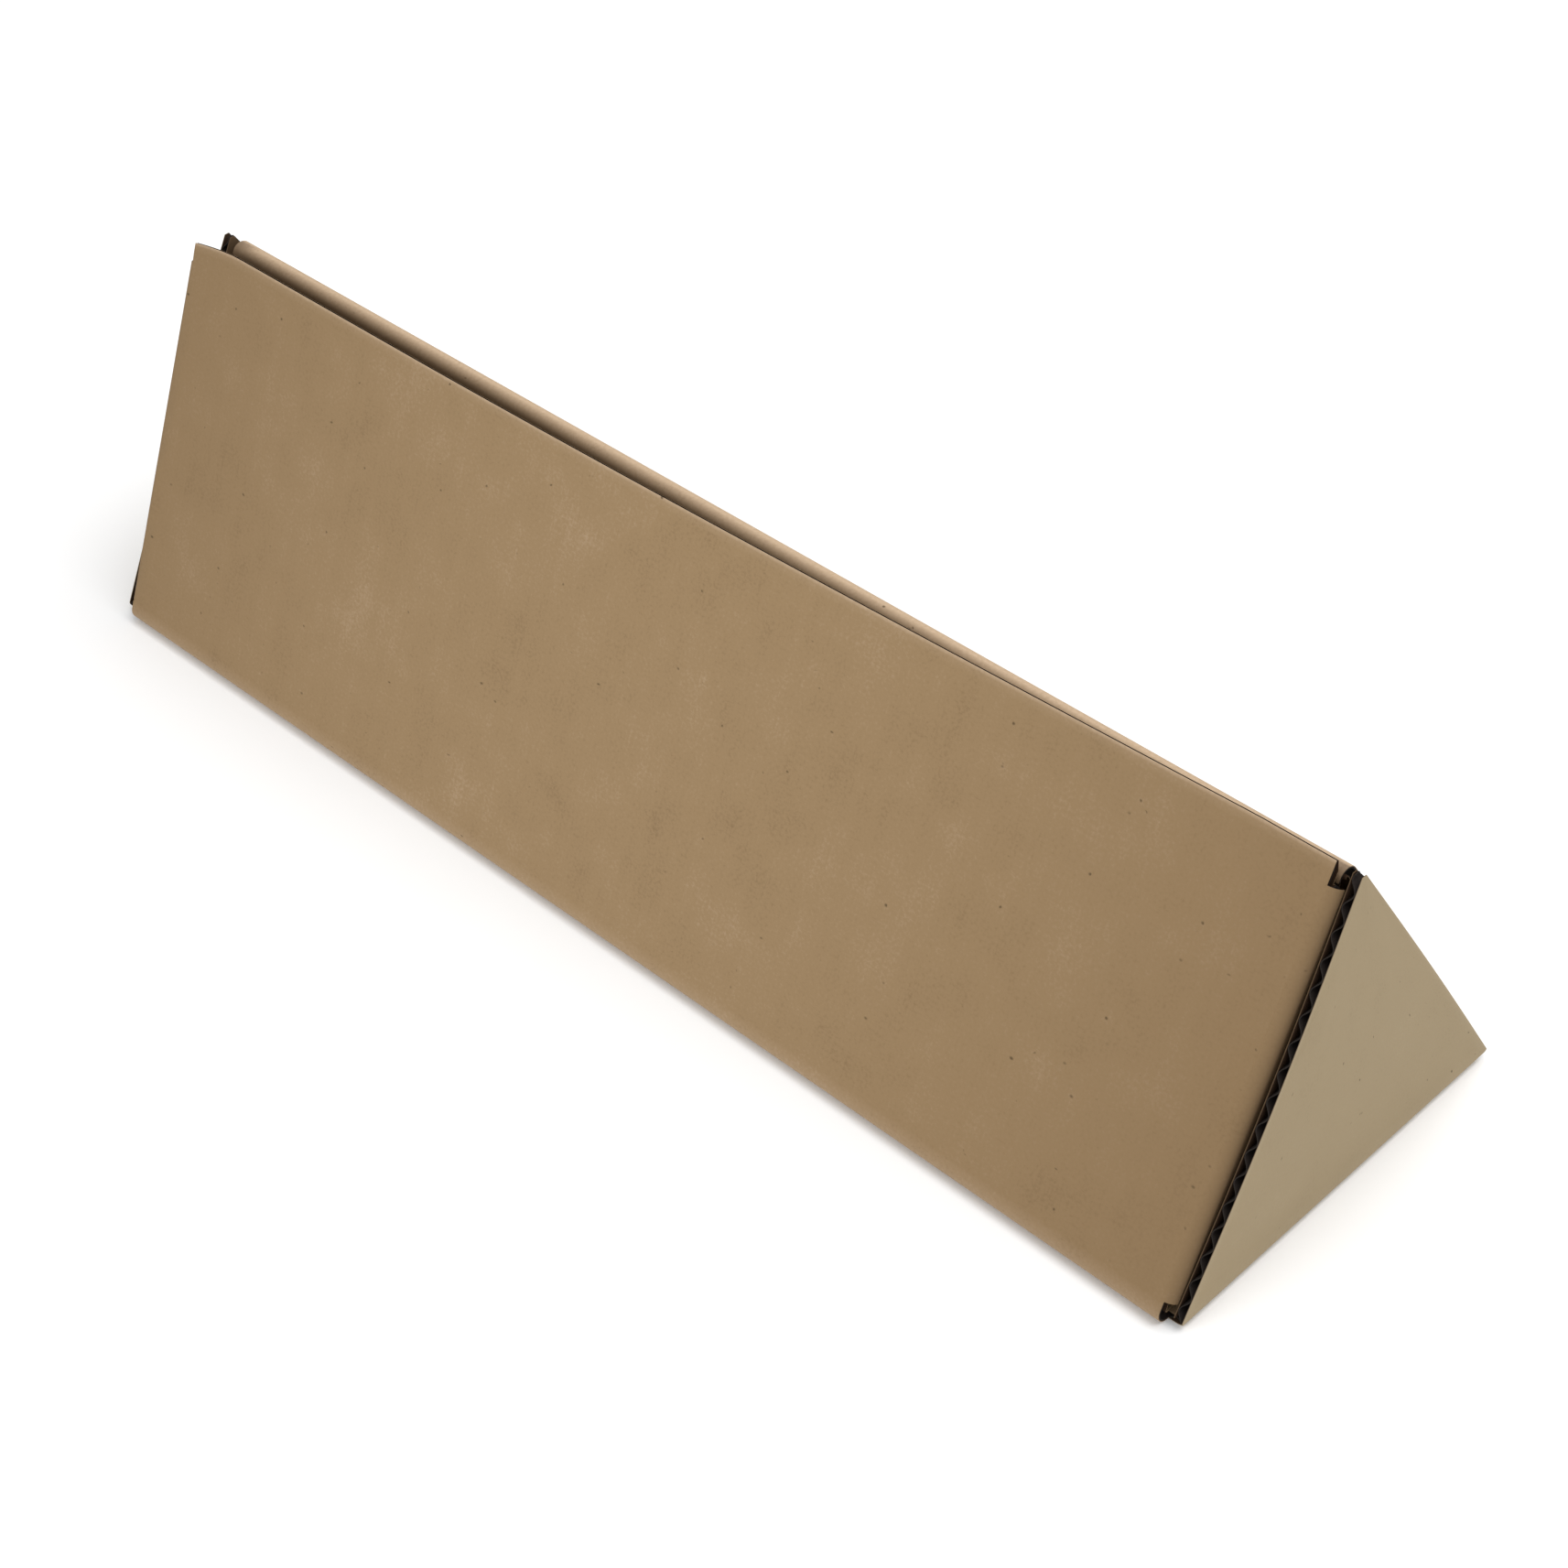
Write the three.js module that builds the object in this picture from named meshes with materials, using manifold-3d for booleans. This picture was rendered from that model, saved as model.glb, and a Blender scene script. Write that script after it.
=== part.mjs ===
// Triangular mailing tube: one creased sheet of corrugated board, folded into a three-sided tube.
// It lies on its base panel. Lengths are in millimetres, X runs along the tube, Z is up, and the near side is -Y.
// The origin is on the table, under the middle of the tube.
import * as THREE from "three";
import { mergeVertices } from "three/addons/utils/BufferGeometryUtils.js";
import Module from "manifold-3d";

// Driving dimensions
const LENGTH = 437; // over the two closed end flaps
const SIDE = 134; // each side of the outer triangle, measured between sharp corners
const BOARD = 3; // thickness of the corrugated board
const GAP = 0.3; // air between two layers of board that touch
const FOLD_RADIUS = 0.5; // inside radius of a long fold
const COVER_SHORT = 3; // how far the near panel's cut top edge stops short of the sharp ridge corner
const COVER_LIFT = 5.8; // degrees that the near panel springs open toward its left end
const SHUT_RUN = 30; // length at the right end over which the near panel lies shut
const OPEN_RUN = 110; // length at the left end over which it stands fully open
const LIFT_CURVE = 1.7; // how late the opening falls off between the two
const LAP_WIDTH = 30; // inner panel, from its sharp ridge corner to its hidden cut edge
const LAP_LEAN = 18; // degrees that the inner panel hangs inward of the near panel's closed slope
const RIDGE_SETBACK = 5.5; // far panel and ridge, from the end flap's outer face to their cut ends
const COVER_SETBACK = 8; // near panel's cut corner at the top, from the same face
const DUST_LOW = 9; // dust flap's fold, from the sharp bottom corner
const DUST_SHORT = 9.6; // and up to this far short of the sharp ridge corner
const DUST_DEPTH = 34; // how far the dust flap reaches in across the end
const DUST_SLOPE = 24; // how far each slanted side of the dust flap runs along the fold
const FLAP_NEAR_INSET = 3.2; // end flap's cut edge, behind the near panel's outer face
const FLAP_FAR_INSET = 1.2; // end flap's other cut edge, inside the far panel's outer face
const FLAP_SHORT = 5.75; // height by which the end flap's blunt top stays below the sharp ridge corner
const HINGE_NEAR_CUT = 6.5; // end flap's fold line starts this far in from the near corner
const HINGE_FAR_CUT = 5; // and ends this far in from the far corner
const LONG_STEPS = 30; // lengths into which the twisted panel is divided
const ARC_STEPS = 5; // facets round each fold

// Values that follow from them
const DEGREE = Math.PI / 180;
const SIN60 = Math.sin(60 * DEGREE);
const COS60 = 0.5;
const OUTER_RADIUS = FOLD_RADIUS + BOARD;
const COVER_WIDTH = SIDE - COVER_SHORT;
const DUST_HIGH = SIDE - DUST_SHORT;
const FLAP_TOP = SIDE * SIN60 - FLAP_SHORT;
const HINGE_NEAR = -SIDE / 2 + HINGE_NEAR_CUT;
const HINGE_FAR = SIDE / 2 - HINGE_FAR_CUT;
const FOLD_REACH = SIDE / 2 - OUTER_RADIUS * (Math.sqrt(3) - 1);
const END = LENGTH / 2;
const FLAP_INSIDE = END - BOARD;
const DUST_OUTSIDE = FLAP_INSIDE - GAP;
const DUST_INSIDE = DUST_OUTSIDE - BOARD;
const LAP_END = DUST_INSIDE - GAP;
const PANEL_END = END - RIDGE_SETBACK;
const COVER_END = END - COVER_SETBACK;
const DUST_FOLD = DUST_OUTSIDE - OUTER_RADIUS - GAP; // flat board ends here, before the dust flap's fold
const OVERLAP = 8; // run of board that two joined lengths of the sheet share
const ROOT = 0.5; // how far the dust flap's fold reaches into the board beside it
const THIN = 0.04; // a joined length lies this far inside its neighbour's faces, so no two faces coincide

const wasm = await Module();
wasm.setup();

// A closed geometry as a solid, and a solid as a geometry.
function solidOf(geometry) {
  const bare = geometry.index ? geometry.toNonIndexed() : geometry.clone();
  bare.deleteAttribute("normal");
  bare.deleteAttribute("uv");
  const merged = mergeVertices(bare, 1e-4);
  return new wasm.Manifold(
    new wasm.Mesh({
      numProp: 3,
      vertProperties: new Float32Array(merged.attributes.position.array),
      triVerts: new Uint32Array(merged.index.array),
    }),
  );
}

function geometryOf(solid) {
  const mesh = solid.getMesh();
  return new THREE.BufferGeometry()
    .setAttribute("position", new THREE.BufferAttribute(mesh.vertProperties, 3))
    .setIndex(new THREE.BufferAttribute(mesh.triVerts, 1))
    .toNonIndexed();
}

// A flat outline extruded along a world axis: frame gives the world directions of the outline's two axes and the run.
function extrude(outline, from, to, frame, origin = new THREE.Vector3(), steps = 1) {
  const shape = new THREE.Shape(outline);
  const geometry = new THREE.ExtrudeGeometry(shape, { depth: to - from, steps, bevelEnabled: false });
  geometry.translate(0, 0, from);
  const place = new THREE.Matrix4().makeBasis(...frame).setPosition(origin);
  return geometry.applyMatrix4(place);
}

const ALONG = new THREE.Vector3(1, 0, 0);
const ACROSS = new THREE.Vector3(0, 1, 0);
const UP = new THREE.Vector3(0, 0, 1);
const SECTION = [ACROSS, UP, ALONG]; // an outline drawn across the tube, extruded along it
const SIDE_VIEW = [ALONG, UP, ACROSS.clone().negate()]; // drawn from the near side, extruded away toward -Y

// Points of an arc about a centre, from one angle to another.
function arc(centre, radius, start, end, steps = ARC_STEPS) {
  const points = [];
  for (let i = 0; i <= steps; i++) {
    const angle = start + ((end - start) * i) / steps;
    points.push(
      new THREE.Vector2(
        centre.x + radius * Math.cos(angle),
        centre.y + radius * Math.sin(angle),
      ),
    );
  }
  return points;
}

// A folded strip of board: its outer face follows the corners, with a rounded fold at each one between the two ends.
// The board lies to the left of the path.
function foldedStrip(corners, thickness = BOARD, lift = 0) {
  const outer = [];
  const inner = [];
  const leftOf = (a, b) => {
    const d = b.clone().sub(a).normalize();
    return new THREE.Vector2(-d.y, d.x);
  };
  corners.forEach((corner, i) => {
    const before = corners[i - 1];
    const after = corners[i + 1];
    if (!before || !after) {
      const left = before ? leftOf(before, corner) : leftOf(corner, after);
      outer.push(corner.clone().addScaledVector(left, lift));
      inner.push(corner.clone().addScaledVector(left, lift + thickness));
      return;
    }
    const a = leftOf(before, corner);
    const b = leftOf(corner, after);
    const turn = Math.acos(THREE.MathUtils.clamp(a.dot(b), -1, 1));
    const reach = OUTER_RADIUS / Math.cos(turn / 2);
    const centre = corner.clone().addScaledVector(a.clone().add(b).normalize(), reach);
    const start = Math.atan2(-a.y, -a.x);
    outer.push(...arc(centre, OUTER_RADIUS - lift, start, start + turn));
    inner.push(...arc(centre, OUTER_RADIUS - lift - thickness, start, start + turn));
  });
  return [...outer, ...inner.reverse()];
}

// The near plane's own directions: up its slope, and inward through the board.
const SLOPE = new THREE.Vector2(COS60, SIN60);
const INWARD = new THREE.Vector2(SIN60, -COS60);
const NEAR_CORNER = new THREE.Vector2(-SIDE / 2, 0);
const FAR_CORNER = new THREE.Vector2(SIDE / 2, 0);

function onNearSide(up, depth) {
  return NEAR_CORNER.clone().addScaledVector(SLOPE, up).addScaledVector(INWARD, depth);
}

// A point on the far side: how far up from its bottom corner, and how deep inside its outer face.
function onFarSide(up, depth) {
  return new THREE.Vector2(
    FAR_CORNER.x - up * COS60 - depth * SIN60,
    up * SIN60 - depth * COS60,
  );
}

// The inner lap hangs under the near panel, so the ridge's fold sits one board and one gap down the far side. It turns
// further than the bottom folds by the lap's lean, which takes its sharp corner further up.
const LAP_DEPTH = BOARD + GAP;
const LAP_ANGLE = (60 + LAP_LEAN) * DEGREE;
const RIDGE_RISE = OUTER_RADIUS * (Math.tan((120 + LAP_LEAN) * 0.5 * DEGREE) - Math.tan(60 * DEGREE));
const RIDGE_CORNER = onFarSide(SIDE - LAP_DEPTH / SIN60 + RIDGE_RISE, 0);
const LAP_EDGE = RIDGE_CORNER.clone().sub(
  new THREE.Vector2(Math.cos(LAP_ANGLE), Math.sin(LAP_ANGLE)).multiplyScalar(LAP_WIDTH),
);
const NEAR_FOLD = new THREE.Vector2(-SIDE / 2 + OUTER_RADIUS * Math.sqrt(3), OUTER_RADIUS);

// How far the near panel stands open at a place along the tube.
function openingAt(x) {
  const share = THREE.MathUtils.clamp((x + END - OPEN_RUN) / (LENGTH - OPEN_RUN - SHUT_RUN), 0, 1);
  return COVER_LIFT * DEGREE * (1 - share ** LIFT_CURVE);
}

// How much of that opening a point of the section takes: all of it on the near panel, a part of it round the fold.
function coverShare(y, z) {
  const dy = y - NEAR_FOLD.x;
  const dz = z - NEAR_FOLD.y;
  const up = dy * SLOPE.x + dz * SLOPE.y;
  const depth = (y - NEAR_CORNER.x) * INWARD.x + z * INWARD.y;
  if (up >= -1e-6 && depth < BOARD + GAP / 2) return 1;
  if (Math.hypot(dy, dz) > OUTER_RADIUS + 1e-3) return 0;
  const angle = Math.atan2(dz, dy) / DEGREE;
  const around = (angle + 360) % 360;
  return THREE.MathUtils.clamp((270 - around) / 120, 0, 1);
}

// Swings the near panel's points outward about the bottom fold.
function openCover(geometry) {
  const position = geometry.attributes.position;
  for (let i = 0; i < position.count; i++) {
    const [x, y, z] = [position.getX(i), position.getY(i), position.getZ(i)];
    const angle = coverShare(y, z) * openingAt(x);
    const dy = y - NEAR_FOLD.x;
    const dz = z - NEAR_FOLD.y;
    position.setY(i, NEAR_FOLD.x + dy * Math.cos(angle) - dz * Math.sin(angle));
    position.setZ(i, NEAR_FOLD.y + dy * Math.sin(angle) + dz * Math.cos(angle));
  }
  return geometry;
}

// The whole section, from the near panel's top edge round to the inner lap's edge.
function wrapBody() {
  const corners = [onNearSide(COVER_WIDTH, 0), NEAR_CORNER, FAR_CORNER, RIDGE_CORNER, LAP_EDGE];
  const outline = foldedStrip(corners);
  return extrude(outline, -PANEL_END, PANEL_END, SECTION, undefined, LONG_STEPS);
}

// A block that cuts an end back to a place along the tube, wherever its outline covers the section.
function endCutter(outline, from, side) {
  const past = END + BOARD;
  return side > 0 ? extrude(outline, from, past, SECTION) : extrude(outline, -past, -from, SECTION);
}

// The dust flap with the run of near panel that it folds from, drawn in the plane of tube axis and board depth.
function dustFlap(side) {
  const bend = new THREE.Vector2(DUST_OUTSIDE, 0);
  const start = new THREE.Vector2(DUST_FOLD - OVERLAP, 0);
  const tip = new THREE.Vector2(DUST_OUTSIDE, DUST_DEPTH);
  const outline = foldedStrip([start, bend, tip], BOARD - 2 * THIN, THIN);
  const slope = new THREE.Vector3(0, SLOPE.x, SLOPE.y);
  const inward = new THREE.Vector3(0, INWARD.x, INWARD.y);
  const origin = new THREE.Vector3(0, NEAR_CORNER.x, 0);
  const frame = [ALONG.clone().multiplyScalar(side), inward, slope.clone().multiplyScalar(side)];
  const [low, high] = [DUST_LOW - ROOT, DUST_HIGH + ROOT];
  const run = side > 0 ? [low, high] : [-high, -low];
  const folded = solidOf(extrude(outline, ...run, frame, origin));
  const sides = [
    onNearSide(low - BOARD, -BOARD),
    onNearSide(low, OUTER_RADIUS),
    onNearSide(low + DUST_SLOPE, DUST_DEPTH + BOARD),
    onNearSide(high - DUST_SLOPE, DUST_DEPTH + BOARD),
    onNearSide(high, OUTER_RADIUS),
    onNearSide(high + BOARD, -BOARD),
  ];
  const keep = solidOf(extrude(sides, -END, END, SECTION));
  return geometryOf(folded.intersect(keep));
}

// Turns a dust flap with the near panel's end, which stands open by one angle there.
function turnWithCover(geometry, x) {
  const pivot = new THREE.Vector3(0, NEAR_FOLD.x, NEAR_FOLD.y);
  return geometry
    .translate(0, -pivot.y, -pivot.z)
    .rotateX(openingAt(x))
    .translate(0, pivot.y, pivot.z);
}

// The end fold between base and flap, drawn from the near side. It is parted along its mitre, on which it hinges.
const MITRE = -45 * DEGREE;
const END_FOLD = new THREE.Vector2(FLAP_INSIDE, BOARD);
const PARTING = GAP / 2;
const PART_ANGLE = Math.asin(PARTING / BOARD);
const PART_STEP = PARTING * Math.SQRT2;

// The base runs on to the end fold between the two corner cuts.
function baseTongue(side) {
  const outline = [
    new THREE.Vector2(PANEL_END - OVERLAP, THIN),
    new THREE.Vector2(PANEL_END - BOARD, THIN),
    ...arc(END_FOLD, BOARD, -90 * DEGREE, MITRE - PART_ANGLE),
    new THREE.Vector2(FLAP_INSIDE - PART_STEP, BOARD),
    new THREE.Vector2(PANEL_END - BOARD, BOARD - THIN),
    new THREE.Vector2(PANEL_END - OVERLAP, BOARD - THIN),
  ];
  const tongue = extrude(outline, -HINGE_FAR, -HINGE_NEAR, SIDE_VIEW);
  return side > 0 ? tongue : mirrored(tongue);
}

// The same geometry at the other end of the tube.
function mirrored(geometry) {
  const copy = geometry.index ? geometry.toNonIndexed() : geometry.clone();
  copy.scale(-1, 1, 1);
  const position = copy.attributes.position;
  for (let i = 0; i < position.count; i += 3) {
    const a = new THREE.Vector3().fromBufferAttribute(position, i + 1);
    const b = new THREE.Vector3().fromBufferAttribute(position, i + 2);
    position.setXYZ(i + 1, b.x, b.y, b.z);
    position.setXYZ(i + 2, a.x, a.y, a.z);
  }
  return copy;
}

// Part of the near panel's end, between two places up its slope.
function coverCut(low, high, from, side) {
  const outline = [
    onNearSide(low, -BOARD),
    onNearSide(low, BOARD + GAP / 2),
    onNearSide(high, BOARD + GAP / 2),
    onNearSide(high, -BOARD),
  ];
  return turnWithCover(endCutter(outline, from, side), side * END);
}

// Where a dust flap crosses the inner lap, the lap stops short of it.
function lapCut(side) {
  const top = DUST_HIGH + ROOT + GAP;
  const toFar = ((SIDE - top) * SIN60 - LAP_DEPTH) / COS60;
  const outline = [
    onNearSide(DUST_LOW, LAP_DEPTH - GAP / 2),
    onNearSide(top, LAP_DEPTH - GAP / 2),
    onNearSide(top, toFar),
    onFarSide(SIDE / 2, LAP_DEPTH),
  ];
  return endCutter(outline, LAP_END, side);
}

// Each end is cut back panel by panel; then the dust flap and the base's run to the end fold are joined on.
function tubeWrap() {
  let sheet = solidOf(openCover(wrapBody()));
  for (const side of [1, -1]) {
    const cuts = [
      coverCut(DUST_HIGH - BOARD, SIDE + BOARD, COVER_END, side),
      coverCut(DUST_LOW, DUST_HIGH, DUST_FOLD, side),
      lapCut(side),
    ];
    for (const cut of cuts) sheet = sheet.subtract(solidOf(cut));
    sheet = sheet.add(solidOf(turnWithCover(dustFlap(side), side * END)));
    sheet = sheet.add(solidOf(baseTongue(side)));
  }
  return geometryOf(sheet);
}

// One end flap, shut: a triangle with a blunt top, one board thick, with its half of the end fold below. Its far
// bottom corner is trimmed to the reach of the rounded fold beside it.
function endFlap(side) {
  const profile = [
    ...arc(END_FOLD, BOARD, MITRE + PART_ANGLE, 0),
    new THREE.Vector2(END, SIDE),
    new THREE.Vector2(FLAP_INSIDE, SIDE),
    new THREE.Vector2(FLAP_INSIDE, BOARD + PART_STEP),
  ];
  const panel = solidOf(extrude(profile, -SIDE, SIDE, SIDE_VIEW));
  const nearAt = (z) => onNearSide((z + FLAP_NEAR_INSET * COS60) / SIN60, FLAP_NEAR_INSET);
  const farAt = (z) => onFarSide((z + FLAP_FAR_INSET * COS60) / SIN60, FLAP_FAR_INSET);
  const outline = [
    nearAt(0),
    new THREE.Vector2(FOLD_REACH, 0),
    new THREE.Vector2(FOLD_REACH, (farAt(0).x - FOLD_REACH) * Math.tan(60 * DEGREE)),
    farAt(FLAP_TOP),
    nearAt(FLAP_TOP),
  ];
  const triangle = solidOf(extrude(outline, FLAP_INSIDE - BOARD, END + BOARD, SECTION));
  const flap = geometryOf(panel.intersect(triangle));
  return side > 0 ? flap : mirrored(flap);
}

// Materials
const board = (colour) => new THREE.MeshStandardMaterial({ color: colour, roughness: 0.9, metalness: 0 });

function piece(name, geometry, colour) {
  geometry.computeVertexNormals();
  const mesh = new THREE.Mesh(geometry, board(colour));
  mesh.name = name;
  return mesh;
}

const tube = new THREE.Group();
tube.add(piece("tube_wrap", tubeWrap(), 0x967d5d));
tube.add(piece("right_end_flap", endFlap(1), 0xa8987a));
tube.add(piece("left_end_flap", endFlap(-1), 0xa8987a));

export default tube;
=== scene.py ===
# %% [markdown]
# A triangular mailing tube of brown corrugated board.
# The real tube starts as one flat blank: two sheets of paper, called liners, with a wavy sheet, the fluting, glued
# between them. It is die-cut, creased and folded. Solid slabs would be quicker to make, but their cut edges would be
# blank. So this script does what the maker does: it makes the three sheets flat, cuts them to the blank's outline,
# and folds them with a function, and the cut edges show real flutes.

# %% Load the packed model
import math

import bpy
import numpy as np
from mathutils import Euler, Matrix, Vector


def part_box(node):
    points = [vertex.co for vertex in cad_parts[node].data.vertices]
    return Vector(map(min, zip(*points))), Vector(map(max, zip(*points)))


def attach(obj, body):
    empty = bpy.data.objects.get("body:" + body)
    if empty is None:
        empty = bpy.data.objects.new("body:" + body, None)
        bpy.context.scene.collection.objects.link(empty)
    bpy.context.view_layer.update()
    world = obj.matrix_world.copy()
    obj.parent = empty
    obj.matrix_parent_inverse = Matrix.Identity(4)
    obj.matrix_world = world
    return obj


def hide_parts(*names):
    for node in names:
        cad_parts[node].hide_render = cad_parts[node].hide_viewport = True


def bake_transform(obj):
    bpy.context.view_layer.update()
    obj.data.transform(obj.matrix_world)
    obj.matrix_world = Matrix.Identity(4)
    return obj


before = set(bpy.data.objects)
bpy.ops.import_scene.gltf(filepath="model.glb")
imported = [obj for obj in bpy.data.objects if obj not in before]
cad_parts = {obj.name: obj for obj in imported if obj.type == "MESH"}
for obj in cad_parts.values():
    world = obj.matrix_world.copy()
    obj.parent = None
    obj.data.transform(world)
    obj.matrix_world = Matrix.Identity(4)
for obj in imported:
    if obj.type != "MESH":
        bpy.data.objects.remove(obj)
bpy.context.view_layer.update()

# %% [markdown]
# The camera comes first, because it decides how fine the detail has to be. It stands where the photograph was taken
# from, in front of the tube's right end and above it, and its lens frames this one tube.

# %% Camera
MM = 0.001
CAMERA_PLACE = (0.5379, -0.4658, 0.6409)
CAMERA_TURN = (48.3445, 3.1024, 44.6687)
FOCAL_LENGTH_PX = 1529.4
FRAMED_WIDTH_PX = 736.0
SENSOR_WIDTH = 36.0
FRAME_SHIFT = (-0.018, 0.0)
NEAREST = 0.01

camera_data = bpy.data.cameras.new("camera")
camera_data.sensor_width = SENSOR_WIDTH
camera_data.lens = FOCAL_LENGTH_PX / FRAMED_WIDTH_PX * SENSOR_WIDTH
camera_data.shift_x, camera_data.shift_y = FRAME_SHIFT
camera_data.clip_start = NEAREST
camera = bpy.data.objects.new("camera", camera_data)
camera.location = CAMERA_PLACE
camera.rotation_euler = Euler([math.radians(angle) for angle in CAMERA_TURN], "XYZ")
bpy.context.scene.collection.objects.link(camera)
bpy.context.scene.camera = camera
print("lens", round(camera_data.lens, 2), "mm")

# %% [markdown]
# The sizes come from the packed model where it gives them: the board's thickness is the end flap's, and the
# triangle's side follows from how far the rounded bottom folds reach. The rest are the folded sheet's own sizes.
# All of them are in millimetres, and MM turns them into Blender's metres.

# %% Sizes of the board and the section
SQRT3 = math.sqrt(3)
flap_low, flap_high = (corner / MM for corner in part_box("right_end_flap"))
_, wrap_high = (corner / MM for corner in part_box("tube_wrap"))

BOARD = flap_high.x - flap_low.x
PAPER = 0.3
GAP = 0.3
FOLD_RADIUS = 0.5
OUTER_RADIUS = FOLD_RADIUS + BOARD
SIDE = round(2 * (wrap_high.y + OUTER_RADIUS * (SQRT3 - 1)), 1)
END = flap_high.x
PANEL_END = END - 5.5
COVER_WIDTH = 131.0
LAP_WIDTH = 30.0
LAP_LEAN = math.radians(18)
print("board", round(BOARD, 2), "side", SIDE, "end", round(END, 2), "mm")

# %% [markdown]
# The section is a path through the sheet: down the near cover panel, round the bottom fold, across the base, up the
# far panel, over the ridge and down the inner lap. A place on the blank is told by its distance along that path, and
# by how deep it lies inside the board. Straight runs and arcs alternate, so the fold is one short function.

# %% Runs of the section path
FOLD_TURN = math.radians(120)
RIDGE_TURN = FOLD_TURN + LAP_LEAN
FOLD_LENGTH = OUTER_RADIUS * FOLD_TURN
TANGENT = OUTER_RADIUS * SQRT3
RIDGE_DROP = (BOARD + GAP) * 2 / SQRT3

PANEL_RUNS = [
    COVER_WIDTH - TANGENT,
    SIDE - 2 * TANGENT,
    SIDE - RIDGE_DROP - 2 * TANGENT,
    LAP_WIDTH - OUTER_RADIUS * math.tan(RIDGE_TURN / 2),
]
FOLD_RUNS = [FOLD_LENGTH, FOLD_LENGTH, OUTER_RADIUS * RIDGE_TURN]
RUNS = [run for pair in zip(PANEL_RUNS, FOLD_RUNS + [0]) for run in pair][:-1]
STOPS = np.concatenate([[0.0], np.cumsum(RUNS)])
PANELS = range(0, len(RUNS), 2)
FOLDS = range(1, len(RUNS), 2)
NEAR_FOLD, BASE, RIDGE, LAP = 1, 2, 5, 6
print("folds at", np.round(STOPS, 1), "mm from the cover's cut edge")

# %% [markdown]
# The function walks along the runs, and keeps a place and a heading as a turtle does. Points on a straight run step
# along the heading, and points on a fold turn about its centre. Depth is measured to the left, into the tube.

# %% Fold the section
COVER_HEADING = math.radians(240)


def along_heading(heading):
    return np.array([math.cos(heading), math.sin(heading)])


def section_point(along, depth):
    """The y and z of points on the folded sheet, for arrays of distance along the path and depth in the board."""
    y = np.empty_like(along)
    z = np.empty_like(along)
    heading = COVER_HEADING
    start = np.array([-SIDE / 2, 0.0]) - COVER_WIDTH * along_heading(heading)
    for index, run in enumerate(RUNS):
        direction = along_heading(heading)
        left = np.array([-direction[1], direction[0]])
        first = -np.inf if index == 0 else STOPS[index]
        last = np.inf if index == LAP else STOPS[index + 1]
        here = (along >= first) & (along < last)
        distance = along[here] - STOPS[index]
        if index in PANELS:
            y[here] = start[0] + direction[0] * distance + left[0] * depth[here]
            z[here] = start[1] + direction[1] * distance + left[1] * depth[here]
            start = start + direction * run
        else:
            centre = start + left * OUTER_RADIUS
            angle = heading - math.pi / 2 + distance / OUTER_RADIUS
            radius = OUTER_RADIUS - depth[here]
            y[here] = centre[0] + radius * np.cos(angle)
            z[here] = centre[1] + radius * np.sin(angle)
            heading += run / OUTER_RADIUS
            start = centre + OUTER_RADIUS * along_heading(heading - math.pi / 2)
    return y, z


ridge_rise = section_point(STOPS[RIDGE : LAP + 1], np.zeros(2))[1]
print("the ridge's fold starts and ends at", np.round(ridge_rise, 1), "mm above the table")

# %% [markdown]
# The cover panel isn't glued, so it springs open toward the tube's left end. Each place along the tube has its own
# opening angle, and the bottom fold takes up that angle little by little. A straight hinge couldn't give this twist.

# %% Open the cover
COVER_LIFT = math.radians(5.8)
SHUT_RUN = 30.0
OPEN_RUN = 110.0
LIFT_CURVE = 1.7
NEAR_FOLD_START = np.array([-SIDE / 2 + TANGENT, OUTER_RADIUS])


def opening_at(x):
    share = np.clip((x + END - OPEN_RUN) / (2 * END - OPEN_RUN - SHUT_RUN), 0, 1)
    return COVER_LIFT * (1 - share**LIFT_CURVE)


def open_cover(x, y, z, along):
    share = np.clip((STOPS[BASE] - along) / FOLD_LENGTH, 0, 1)
    angle = share * opening_at(x)
    dy = y - NEAR_FOLD_START[0]
    dz = z - NEAR_FOLD_START[1]
    turned_y = dy * np.cos(angle) - dz * np.sin(angle)
    turned_z = dy * np.sin(angle) + dz * np.cos(angle)
    return NEAR_FOLD_START[0] + turned_y, NEAR_FOLD_START[1] + turned_z


openings = np.degrees(opening_at(np.array([-END, 0, END])))
print("cover opens by", np.round(openings, 2), "degrees at its left end, its middle and its right end")

# %% [markdown]
# Paper board is never quite flat: damp and the creases make each panel bow a little. The bow is a sum of two slow
# sine waves, so it is the same on every run. The base bows inward only, off the table.

# %% Bowing of the panels
BOW = 0.45
MEAN_BOW = 0.35
BASE_BOW_SHARE = 0.35
COVER_FADE = 0.7
# Each wave: its height, its length along the tube, its shift from panel to panel, and its slant across a panel
BOW_WAVES = ((0.6, 61.0, 1.7, 0.0), (0.4, 27.0, 2.9, 2.0))


def bow(x, along):
    """How far a panel's board stands out of its flat place, fading to nothing at its folds."""
    out = np.zeros_like(along)
    for index in PANELS:
        first, last = STOPS[index], STOPS[index + 1]
        inside = (along > first) & (along < last)
        share = (along[inside] - first) / (last - first)
        fade = np.sin(math.pi * share) ** (1 if index else COVER_FADE)
        wave = sum(
            height * np.sin(x[inside] / length + index * shift + share * slant)
            for height, length, shift, slant in BOW_WAVES
        )
        stand = BOW * fade * (MEAN_BOW + wave)
        out[inside] = -BASE_BOW_SHARE * np.abs(stand) if index == BASE else stand
    return out


print("a panel bows by up to", round(BOW * (1 + MEAN_BOW), 2), "mm")

# %% [markdown]
# A blank is cut out of a fine grid of cells. Lines of the grid run at every fold and every cut, the cells outside
# the outline are thrown away, and what is left gets a front, a back and cut sides. A Boolean cut would do the same
# more slowly, and this way any outline gives a closed sheet whose faces point outwards.

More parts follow.
